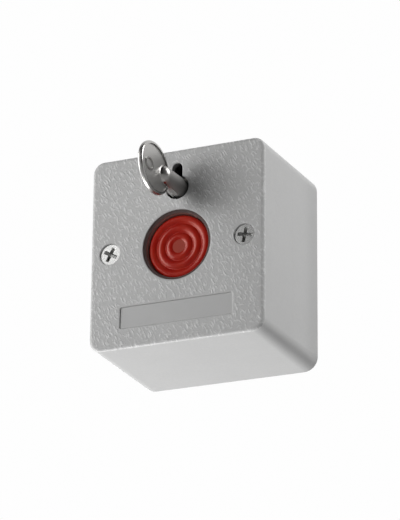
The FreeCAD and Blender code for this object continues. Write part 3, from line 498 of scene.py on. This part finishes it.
ZINC = (0.70, 0.70, 0.69)
ZINC_TONES = (0.95, 1.03)
ZINC_FINE = 0.16 * MM
ZINC_MOTTLE = 0.55 * MM
ZINC_MOTTLE_RANGE = (0.35, 0.65)
ZINC_RISE = 0.0010 * MM
RECESS_DEPTH = (0.12 * MM, 0.4 * MM)
# Painted shade in the driver's recess
RECESS_SHADE_TONE = 0.6
HEAD_ROUGHNESS = 0.17
RECESS_ROUGHNESS = 0.5


def plated_metal(name, color, roughness, grain, height, scratch=(1, 1, 1)):
    """Bare or plated metal with a fine grain that may be drawn out along an axis."""
    g = Finish(name)
    fine = g.noise(grain, detail=3.0, roughness=0.6, source=g.stretched(scale=scratch))
    broad = g.noise(grain * METAL_CLOUD_GRAINS)
    g.set(
        Base_Color=g.toned(color, g.spread(broad, *METAL_TONES)),
        Metallic=1.0,
        Roughness=g.ramp(fine, *FINE_RANGE, roughness * 0.8, roughness * 1.25, smooth=False),
        Normal=g.relief(g.times(fine, height), METAL_ROUNDING),
    )
    return g.material


def key_material():
    """Cast nickel: satin flats, a polished rim round the bow and a dull shank, whose darker base
    colour is painted shade.
    """
    g = Finish("key_nickel")
    x, y, _ = g.axes()
    aside = g.math("ABSOLUTE", g.math("SUBTRACT", x, LOCK.x))
    rim = g.times(g.ramp(aside, *BOW_RIM_START), g.ramp(aside, *BOW_RIM_END, 1.0, 0.0))
    near, far = (FACE_Y + depth for depth in SHANK_DEPTH)
    shank = g.times(g.ramp(aside, *SHANK_START), g.ramp(y, near, far))
    fine = g.noise(KEY_FINE, detail=3.0, roughness=0.6)
    swirl = g.noise(KEY_SWIRL)
    height = g.math("MULTIPLY_ADD", fine, KEY_FINE_RISE, g.times(swirl, KEY_SWIRL_RISE))
    rough = g.mix(shank, g.mix(rim, BOW_ROUGHNESS, RIM_ROUGHNESS), SHANK_ROUGHNESS)
    g.set(
        # painted shade on the shank
        Base_Color=g.blend(shank, BOW_FLAT, SHANK_SHADE_COLOR),
        Metallic=1.0,
        Roughness=uneven(g, rough, fine),
        Normal=g.relief(height, KEY_ROUNDING),
    )
    return g.material


def screw_material():
    """Bright zinc, with a dull recess for the driver: rougher, and darker by painted shade."""
    g = Finish("screw_zinc")
    _, y, _ = g.axes()
    fine = g.noise(ZINC_FINE, detail=3.0, roughness=0.6)
    mottle = g.noise(ZINC_MOTTLE, detail=3.0, roughness=0.6)
    recess = g.ramp(g.math("SUBTRACT", y, SCREW_FACE_Y), *RECESS_DEPTH)
    tone = g.ramp(mottle, *ZINC_MOTTLE_RANGE, *ZINC_TONES, smooth=False)
    rough = g.mix(recess, HEAD_ROUGHNESS, RECESS_ROUGHNESS)
    g.set(
        # painted shade in the recess
        Base_Color=g.toned(ZINC, g.times(tone, g.tint(recess, RECESS_SHADE_TONE))),
        Metallic=1.0,
        Roughness=uneven(g, rough, fine),
        Normal=g.relief(g.times(fine, ZINC_RISE), METAL_ROUNDING),
    )
    return g.material


# Plastics
MOULDED_ROUNDING = 0.1 * MM
MOULDED_TONES = (0.95, 1.05)
MOULDED_CLOUD_GRAINS = 30

BUTTON_REDS = ((0.32, 0.009, 0.005), (0.35, 0.015, 0.007))
DISC_RED = (0.28, 0.038, 0.024)
DISC_R = 2.5 * MM
DISC_SOFT = 0.1 * MM
DISC_SHARE = 0.85
DISC_ROUGHNESS = 0.7
DISC_RISE = 0.02 * MM
BUTTON_FINE = 0.3 * MM
BUTTON_CLOUD = 5 * MM
BUTTON_CLOUD_RANGE = (0.35, 0.65)
BUTTON_ROUGHNESS = 0.25
BUTTON_RISE = 0.001 * MM
BUTTON_ROUNDING = 0.12 * MM


def moulded(name, color, roughness, grain, height):
    """Moulded plastic with a fine grain and faint clouds."""
    g = Finish(name)
    fine = g.noise(grain, detail=2.5, roughness=0.55)
    cloud = g.noise(grain * MOULDED_CLOUD_GRAINS)
    g.set(
        Base_Color=g.toned(color, g.spread(cloud, *MOULDED_TONES)),
        Roughness=g.spread(fine, roughness * 0.9, roughness * 1.12),
        Normal=g.relief(g.times(fine, height), MOULDED_ROUNDING),
        Specular_IOR_Level=0.4,
    )
    return g.material


def button_material():
    """Glossy red plastic, with a matte disc in the middle."""
    g = Finish("button_red")
    x, _, z = g.axes()
    radius = radius_from(g, x, z, BUTTON)
    disc = g.ramp(radius, DISC_R - DISC_SOFT, DISC_R + DISC_SOFT, 1.0, 0.0)
    fine = g.noise(BUTTON_FINE, detail=3.0, roughness=0.65)
    color = g.blend(g.ramp(g.noise(BUTTON_CLOUD), *BUTTON_CLOUD_RANGE), *BUTTON_REDS)
    g.set(
        Base_Color=g.blend(g.times(disc, DISC_SHARE), color, DISC_RED),
        Roughness=g.mix(disc, BUTTON_ROUGHNESS, DISC_ROUGHNESS),
        Normal=g.relief(g.times(fine, g.mix(disc, BUTTON_RISE, DISC_RISE)), BUTTON_ROUNDING),
        Specular_IOR_Level=0.28,
        Specular_Tint=(1.0, 0.72, 0.62, 1.0),
    )
    return g.material


# The collar round the button, whose mouth narrows in fine turned steps
RING_MOUTH_R = 13.05 * MM
RING_THROAT_R = 12.25 * MM
RING_OUTER_R = 13.25 * MM
RING_SET_BACK = 0.2 * MM
RING_THROAT_DEPTH = 0.8 * MM
RING_LIP = 0.1 * MM
RING_LIP_EASE = 0.3
RING_STEP_COUNT = 4
RING_STEP_SHARE = 0.35
RING_SEGMENTS = 192
RING_CREASE_DEG = 35
FACE_WALL = 2.5 * MM
RING_FLANGE_END = 4.0 * MM
RING_MOUTH_BROWN = (0.072, 0.047, 0.043)
# Painted light: the paler colour down the collar's bore
RING_BORE_PAINTED_LIGHT = (0.34, 0.20, 0.175)
RING_BORE_DEPTH = (0.6 * MM, 1.5 * MM)
RING_ROUNDING = 0.05 * MM
RING_FINE = 0.3 * MM
RING_RISE = 0.004 * MM


def smooth_by_angle(piece, degrees):
    """Shade smooth, with edges sharper than this kept sharp."""
    work = bmesh.new()
    work.from_mesh(piece.data)
    for face in work.faces:
        face.smooth = True
    for edge in work.edges:
        if len(edge.link_faces) == 2:
            edge.smooth = edge.calc_face_angle(0) < math.radians(degrees)
    work.to_mesh(piece.data)
    work.free()


def lathe(name, profile, centre):
    """Closed piece turned about the Y line through the centre, from (radius, y) points."""
    verts = []
    faces = []
    count = len(profile)
    for step in range(RING_SEGMENTS):
        angle = TAU * step / RING_SEGMENTS
        for radius, y in profile:
            x = centre.x + radius * math.cos(angle)
            z = centre.z + radius * math.sin(angle)
            verts.append((x, y, z))
    for step in range(RING_SEGMENTS):
        here = step * count
        beside = (step + 1) % RING_SEGMENTS * count
        for index in range(count):
            after = (index + 1) % count
            faces.append((here + index, here + after, beside + after, beside + index))
    mesh = bpy.data.meshes.new(name)
    mesh.from_pydata(verts, [], faces)
    mesh.validate()
    work = bmesh.new()
    work.from_mesh(mesh)
    bmesh.ops.recalc_face_normals(work, faces=work.faces)
    work.to_mesh(mesh)
    work.free()
    piece = bpy.data.objects.new(name, mesh)
    scene.collection.objects.link(piece)
    smooth_by_angle(piece, RING_CREASE_DEG)
    return piece


def collar_profile():
    """Outline of the collar as (radius, depth below the face), from its inner end round."""
    _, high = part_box("button_ring")
    end = high[1] - FACE_Y
    flange_r = high[0] - BUTTON.x
    start = RING_SET_BACK + RING_LIP
    ease = RING_LIP * RING_LIP_EASE
    pitch = (RING_THROAT_DEPTH - start) / RING_STEP_COUNT
    shrink = (RING_MOUTH_R - RING_THROAT_R) / RING_STEP_COUNT
    profile = [
        (RING_THROAT_R, end),
        (RING_OUTER_R, end),
        (RING_OUTER_R, RING_FLANGE_END),
        (flange_r, RING_FLANGE_END),
        (flange_r, FACE_WALL),
        (RING_OUTER_R, FACE_WALL),
        (RING_OUTER_R, start),
        (RING_OUTER_R - ease, RING_SET_BACK + ease),
        (RING_OUTER_R - RING_LIP, RING_SET_BACK),
    ]
    for index in range(RING_STEP_COUNT):
        radius = RING_MOUTH_R - index * shrink
        depth = start + index * pitch
        profile.append((radius, depth))
        profile.append((radius - RING_STEP_SHARE * shrink, depth + pitch))
    profile.append((RING_THROAT_R, RING_THROAT_DEPTH + pitch))
    return profile


def make_collar(material):
    """Dark collar with an eased lip and fine turned steps in its mouth."""
    points = [(radius, FACE_Y + depth) for radius, depth in collar_profile()]
    collar = lathe("button_collar", points, BUTTON)
    dress(collar, material)
    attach(collar, "housing")
    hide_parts("button_ring")


def collar_material():
    """Dark brown plastic, with painted light down the bore: a paler colour there, for the red
    that shines onto it and the light that falls into it.
    """
    g = Finish("collar_dark")
    _, y, _ = g.axes()
    fine = g.noise(RING_FINE, detail=2.5, roughness=0.55)
    down = g.ramp(g.math("SUBTRACT", y, FACE_Y), *RING_BORE_DEPTH)
    g.set(
        # painted light down the bore
        Base_Color=g.blend(down, RING_MOUTH_BROWN, RING_BORE_PAINTED_LIGHT),
        Roughness=g.spread(fine, 0.42, 0.52),
        Normal=g.relief(g.times(fine, RING_RISE), RING_ROUNDING),
        Specular_IOR_Level=0.22,
    )
    return g.material


def make_spring(material):
    """Spring of the solid's own form. Its inner end stays on the mechanism plate."""
    spring = bpy.data.objects.new("return_spring", nodes["button_spring"].data.copy())
    scene.collection.objects.link(spring)
    dress(spring, material)
    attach(spring, "housing")
    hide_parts("button_spring")
    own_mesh(spring)


# Circuit boards and the cell
BOARD_ROUNDING = 0.06 * MM
TRACK_RISE = 0.03 * MM
TRACK_SHARE = 0.6
TRACK_REPEAT = 0.18
TRACK_EDGE = (0.05, 0.09)
TRACK_PITCHES = 3
PAD_EDGE = (0.07, 0.09)
PAD_PITCHES = 6
PAD_TIN = (0.75, 0.74, 0.70)
CELL_SLEEVE = (0.05, 0.07, 0.11)
CELL_BAND = (0.42, 0.43, 0.45)
CELL_CAP = (0.74, 0.73, 0.70)
CELL_CAP_START = (-1.3 * MM, -1.2 * MM)
CELL_BAND_BACK = 6.0 * MM
CELL_BAND_HALF = 1.6 * MM
CELL_BAND_SOFT = 0.05 * MM
CELL_WEAR = 1.5 * MM
CELL_WEAR_RISE = 0.01 * MM


def board_cells(g, size, random):
    """Distance to the middles of cells of this size that look the same through the board."""
    through = g.stretched(scale=(1.0, 0.001, 1.0))
    inputs = {"Vector": through, "Scale": 1.0 / size, "Randomness": random}
    return g.add("ShaderNodeTexVoronoi", inputs, feature="F1").outputs["Distance"]


def board_material(name, mask, track, pitch):
    """Solder mask over copper tracks, with bare tinned pads."""
    g = Finish(name)
    maze = g.math("PINGPONG", board_cells(g, pitch * TRACK_PITCHES, 0.6), TRACK_REPEAT)
    line = g.ramp(maze, *TRACK_EDGE, 1.0, 0.0)
    pads = g.ramp(board_cells(g, pitch * PAD_PITCHES, 0.9), *PAD_EDGE, 1.0, 0.0)
    color = g.blend(g.times(line, TRACK_SHARE), mask, track)
    g.set(
        Base_Color=g.blend(pads, color, PAD_TIN),
        Roughness=g.mix(pads, 0.3, 0.25),
        Metallic=g.times(pads, 0.9),
        Normal=g.relief(g.times(line, TRACK_RISE), BOARD_ROUNDING),
    )
    return g.material


def cell_material():
    """Bare sleeved cell: a dark sleeve with one plain band, and a bright cap."""
    g = Finish("cell_can")
    x, _, _ = g.axes()
    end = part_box("battery_cell")[1][0]
    start, full = (end + place for place in CELL_CAP_START)
    cap = g.ramp(x, start, full)
    band = inside(g, x, end - CELL_BAND_BACK, CELL_BAND_HALF, CELL_BAND_SOFT)
    wear = g.noise(CELL_WEAR, detail=3.0)
    g.set(
        Base_Color=g.blend(cap, g.blend(band, CELL_SLEEVE, CELL_BAND), CELL_CAP),
        Metallic=cap,
        Roughness=g.ramp(wear, *NOISE_RANGE, 0.28, 0.4),
        Normal=g.relief(g.times(wear, CELL_WEAR_RISE), MOULDED_ROUNDING),
    )
    return g.material


# Plain finishes by slot: colour, roughness, grain size, grain height and for metals the
# way in which the grain is drawn out
PLAIN_METALS = {
    "spring_steel": ((0.62, 0.62, 0.62), 0.28, 0.1 * MM, 0.002 * MM, (1, 1, 1)),
    "contact_tin": ((0.76, 0.75, 0.72), 0.3, 0.3 * MM, 0.003 * MM, (1, 1, 1)),
    "antenna_copper": ((0.80, 0.46, 0.30), 0.25, 0.1 * MM, 0.002 * MM, (1, 1, 1)),
    "crystal_steel": ((0.74, 0.74, 0.73), 0.26, 0.12 * MM, 0.002 * MM, (0.1, 1, 1)),
    "capacitor_can": ((0.76, 0.77, 0.78), 0.3, 0.12 * MM, 0.002 * MM, (1, 0.1, 1)),
}
PLAIN_PLASTICS = {
    "inner_dark": ((0.022, 0.022, 0.024), 0.5, 0.3 * MM, 0.006 * MM),
    "lock_black": ((0.11, 0.10, 0.09), 0.45, 0.3 * MM, 0.004 * MM),
    "cam_white": ((0.70, 0.68, 0.62), 0.4, 0.3 * MM, 0.004 * MM),
    "switch_black": ((0.012, 0.012, 0.013), 0.42, 0.2 * MM, 0.005 * MM),
    "plunger_red": ((0.42, 0.02, 0.015), 0.35, 0.2 * MM, 0.002 * MM),
    "chip_beige": ((0.42, 0.32, 0.20), 0.4, 0.1 * MM, 0.002 * MM),
}

# Boards by slot: solder mask, tracks and their pitch
BOARDS = {
    "board_green": ((0.012, 0.10, 0.035), (0.03, 0.19, 0.06), 0.5 * MM),
    "module_blue": ((0.010, 0.03, 0.12), (0.03, 0.08, 0.22), 0.35 * MM),
}


def make_materials():
    """Every finish by the name of its slot."""
    made = {
        "case_grey": case_material(),
        "screw_zinc": screw_material(),
        "collar_dark": collar_material(),
        "button_red": button_material(),
        "key_nickel": key_material(),
        "cell_can": cell_material(),
    }
    for name, look in PLAIN_METALS.items():
        made[name] = plated_metal(name, *look)
    for name, look in PLAIN_PLASTICS.items():
        made[name] = moulded(name, *look)
    for name, look in BOARDS.items():
        made[name] = board_material(name, *look)
    return made


def dress_all(made):
    """Give every CAD node the finish of its slot."""
    for part in frame["record"]["subparts"]:
        dress(part["node"], made[part["material_slot"]])


# Stage: camera, world, floor and lights
CLIP_START = 0.01
CLIP_END = 50.0
WORLD_BACK = 1.15
WORLD_FRONT = 0.05
WORLD_NEAR_CAMERA = 0.03
WORLD_TURN = 0.3
NEAR_CAMERA_COSINES = (0.75, 0.95)
SEEN_WHITE = (0.99, 0.99, 0.99)
FLOOR_Z = -1.05
FLOOR_HALF = 9.0
FLOOR_GREY = (0.84, 0.84, 0.84)
FLOOR_TONES = (0.97, 1.0)
FLOOR_CLOUD = 0.4
FLOOR_ROUGHNESS = 0.8


def way_out(azimuth_deg, elevation_deg):
    """Direction away from the object. Azimuth 0 is in front of it, + is to the right."""
    azimuth = math.radians(azimuth_deg)
    elevation = math.radians(elevation_deg)
    return Vector(
        (
            math.sin(azimuth) * math.cos(elevation),
            -math.cos(azimuth) * math.cos(elevation),
            math.sin(elevation),
        )
    )


def make_camera():
    """Camera at the photograph's place. Gives the direction from the object to it."""
    back = way_out(CAMERA_AZIMUTH_DEG, CAMERA_ELEVATION_DEG)
    azimuth = math.radians(CAMERA_AZIMUTH_DEG)
    level_right = Vector((math.cos(azimuth), math.sin(azimuth), 0.0))
    level_up = back.cross(level_right)
    right = level_right * math.cos(CAMERA_ROLL) + level_up * math.sin(CAMERA_ROLL)
    up = level_up * math.cos(CAMERA_ROLL) - level_right * math.sin(CAMERA_ROLL)
    data = bpy.data.cameras.new("camera")
    data.lens = CAMERA_LENS_MM
    data.sensor_width = SENSOR_MM
    data.sensor_fit = "AUTO"
    data.clip_start = CLIP_START
    data.clip_end = CLIP_END
    camera = bpy.data.objects.new("camera", data)
    scene.collection.objects.link(camera)
    turn = Matrix((right, up, back)).transposed().to_4x4()
    camera.matrix_world = Matrix.Translation(AIM + back * CAMERA_DISTANCE) @ turn
    scene.camera = camera
    return back


def make_world(toward_camera):
    """White to the eye; as a light it is bright behind the object and dim in front of it."""
    world = bpy.data.worlds.new("studio")
    world.use_nodes = True
    scene.world = world
    g = Graph(world.node_tree)
    direction = g.add("ShaderNodeTexCoord").outputs["Generated"]
    backward = g.add("ShaderNodeSeparateXYZ", {0: direction}).outputs["Y"]
    facing = g.vectors("DOT_PRODUCT", {0: direction, 1: toward_camera}, output="Value")
    dimmed = WORLD_NEAR_CAMERA / WORLD_FRONT
    strength = g.times(
        g.ramp(backward, 0.0, WORLD_TURN, WORLD_FRONT, WORLD_BACK),
        g.ramp(facing, *NEAR_CAMERA_COSINES, 1.0, dimmed),
    )
    lit = g.add("ShaderNodeBackground", {"Strength": strength})
    seen = g.add("ShaderNodeBackground", {"Strength": 1.0, "Color": SEEN_WHITE})
    by_eye = g.add("ShaderNodeLightPath").outputs["Is Camera Ray"]
    inputs = {"Fac": by_eye, 1: lit.outputs[0], 2: seen.outputs[0]}
    mixed = g.add("ShaderNodeMixShader", inputs).outputs[0]
    g.add("ShaderNodeOutputWorld", {"Surface": mixed})


def make_floor():
    """Plain pale floor, far below the object."""
    mesh = bpy.data.meshes.new("floor")
    half = FLOOR_HALF
    corners = [(-half, -half), (half, -half), (half, half), (-half, half)]
    mesh.from_pydata([(x, y, FLOOR_Z) for x, y in corners], [], [(0, 1, 2, 3)])
    floor = bpy.data.objects.new("floor", mesh)
    scene.collection.objects.link(floor)
    g = Finish("floor_pale")
    tone = g.spread(g.noise(FLOOR_CLOUD), *FLOOR_TONES)
    g.set(Base_Color=g.toned(FLOOR_GREY, tone), Roughness=FLOOR_ROUGHNESS)
    dress(floor, g.material)


# Lights: name, azimuth, elevation, half width and half height in degrees, watts, distance
# from the object, and the surfaces lit: matt, gloss or both
LIGHTS = [
    ("key_light", -28.2, 4.9, 15.2, 8.3, 2.17, 0.62, "matt"),
    ("left_card", -31.5, 24.0, 9.5, 7.0, 0.115, 0.62, "gloss"),
    ("left_light", -86.0, -10.0, 14.0, 35.0, 3.8, 0.75, "gloss"),
    ("left_fill", -86.0, -10.0, 14.0, 35.0, 1.7, 0.75, "matt"),
    ("low_light", -115.0, -52.0, 14.0, 14.0, 6.1, 0.75, "both"),
    ("right_light", 98.0, 39.0, 8.0, 19.0, 2.45, 0.6, "both"),
    ("ripple_card", -60.0, 2.0, 5.0, 6.0, 0.36, 0.62, "gloss"),
    ("ripple_glow", -56.0, 10.0, 17.0, 28.0, 4.7, 0.62, "gloss"),
]


def area_light(name, azimuth, elevation, half_wide, half_high, watts, reach, lit):
    """Soft box that looks at the object, with its place and size in degrees."""
    out = way_out(azimuth, elevation)
    data = bpy.data.lights.new(name, "AREA")
    data.shape = "RECTANGLE"
    data.size = 2 * reach * math.tan(math.radians(half_wide))
    data.size_y = 2 * reach * math.tan(math.radians(half_high))
    data.energy = watts
    lamp = bpy.data.objects.new(name, data)
    scene.collection.objects.link(lamp)
    lamp.location = Vector((0.0, FACE_Y / 2, 0.0)) + out * reach
    lamp.rotation_mode = "QUATERNION"
    lamp.rotation_quaternion = out.to_track_quat("Z", "Y")
    lamp.visible_camera = False
    lamp.visible_diffuse = lit != "gloss"
    lamp.visible_glossy = lit != "matt"


scene.view_settings.view_transform = "Standard"
scene.view_settings.look = "None"

toward_camera = make_camera()
make_world(toward_camera)
make_floor()
for light in LIGHTS:
    area_light(*light)

finishes = make_materials()
dress_all(finishes)
make_collar(finishes["collar_dark"])
make_spring(finishes["spring_steel"])
